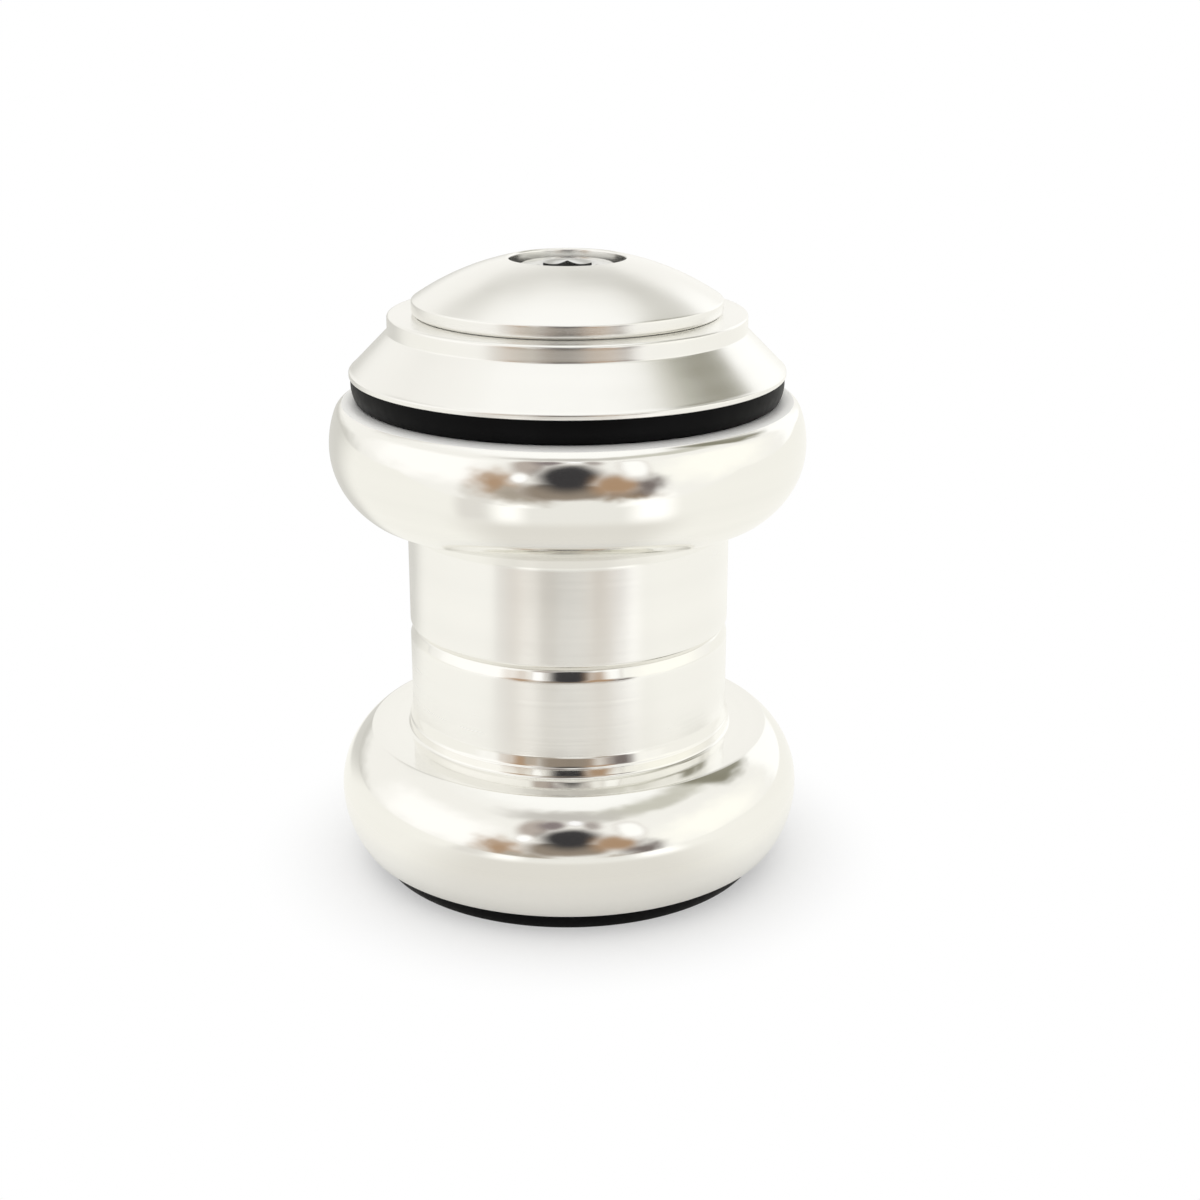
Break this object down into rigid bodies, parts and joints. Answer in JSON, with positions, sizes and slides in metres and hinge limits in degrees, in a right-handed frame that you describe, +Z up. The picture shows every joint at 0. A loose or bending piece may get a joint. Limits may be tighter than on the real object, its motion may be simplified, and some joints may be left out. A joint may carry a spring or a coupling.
{
  "type": "bicycle headset",
  "caption": "Threadless bicycle headset with round polished bearing cups, press skirts, cartridge bearings, conical top cover, domed top cap with bolt, star nut and rubber seals.",
  "frame": {"origin": "centre of the crown race's bottom face, on the steering axis", "axes": "+Z up along the steering axis, from the fork crown to the top cap; -Y faces the camera of the picture"},
  "size_m": [0.0498, 0.0498, 0.0654],
  "materials": {
    "polished_aluminium": "polished",
    "satin_aluminium": "satin",
    "plain_aluminium": "turned",
    "bolt_steel": "polished",
    "plated_steel": "zinc plated",
    "bearing_steel": "ground",
    "seal_rubber": "smooth",
    "shield_rubber": "satin",
    "cage_nylon": "moulded"
  },
  "bodies": {
    "cups": {"upper_cup": "polished_aluminium", "lower_cup": "polished_aluminium", "upper_bearing_outer_race": "bearing_steel", "upper_bearing_mouth_shield": "shield_rubber", "upper_bearing_seat_shield": "shield_rubber", "lower_bearing_outer_race": "bearing_steel", "lower_bearing_mouth_shield": "shield_rubber", "lower_bearing_seat_shield": "shield_rubber"},
    "upper_rotor": {"top_cover": "satin_aluminium", "top_cover_o_ring": "seal_rubber", "upper_seal": "seal_rubber", "compression_ring": "plain_aluminium", "top_cap": "satin_aluminium", "upper_bearing_inner_race": "bearing_steel"},
    "upper_ball_set": {"upper_bearing_balls": "bearing_steel", "upper_bearing_cage": "cage_nylon"},
    "lower_rotor": {"crown_race": "plain_aluminium", "lower_seal": "seal_rubber", "lower_bearing_inner_race": "bearing_steel"},
    "lower_ball_set": {"lower_bearing_balls": "bearing_steel", "lower_bearing_cage": "cage_nylon"},
    "bolt": {"top_cap_bolt": "bolt_steel"},
    "star_nut": {"star_nut_sleeve": "plated_steel", "star_nut_upper_claw": "plated_steel", "star_nut_lower_claw": "plated_steel"}
  },
  "joints": [
    {"name": "upper_turn", "type": "hinge", "parent": "cups", "child": "upper_rotor", "pos_m": [0, 0, 0.04675], "axis": [0, 0, 1], "continuous": true},
    {"name": "upper_balls_turn", "type": "hinge", "parent": "cups", "child": "upper_ball_set", "pos_m": [0, 0, 0.04675], "axis": [0, 0, 1], "continuous": true},
    {"name": "lower_turn", "type": "hinge", "parent": "cups", "child": "lower_rotor", "pos_m": [0, 0, 0.00645], "axis": [0, 0, 1], "continuous": true},
    {"name": "lower_balls_turn", "type": "hinge", "parent": "cups", "child": "lower_ball_set", "pos_m": [0, 0, 0.00645], "axis": [0, 0, 1], "continuous": true},
    {"name": "bolt_turn", "type": "hinge", "parent": "upper_rotor", "child": "bolt", "pos_m": [0, 0, 0.0587], "axis": [0, 0, 1], "range_deg": [-2880, 2160]},
    {"name": "star_nut_climb", "type": "slide", "parent": "upper_rotor", "child": "star_nut", "axis": [0, 0, 1], "range_m": [-0.006, 0.008]}
  ],
  "couplings": [
    {"joint": "upper_balls_turn", "follows": "upper_turn", "ratio": 0.466},
    {"joint": "lower_balls_turn", "follows": "lower_turn", "ratio": 0.466},
    {"joint": "star_nut_climb", "follows": "bolt_turn", "m_per_rad": -0.00015915}
  ]
}
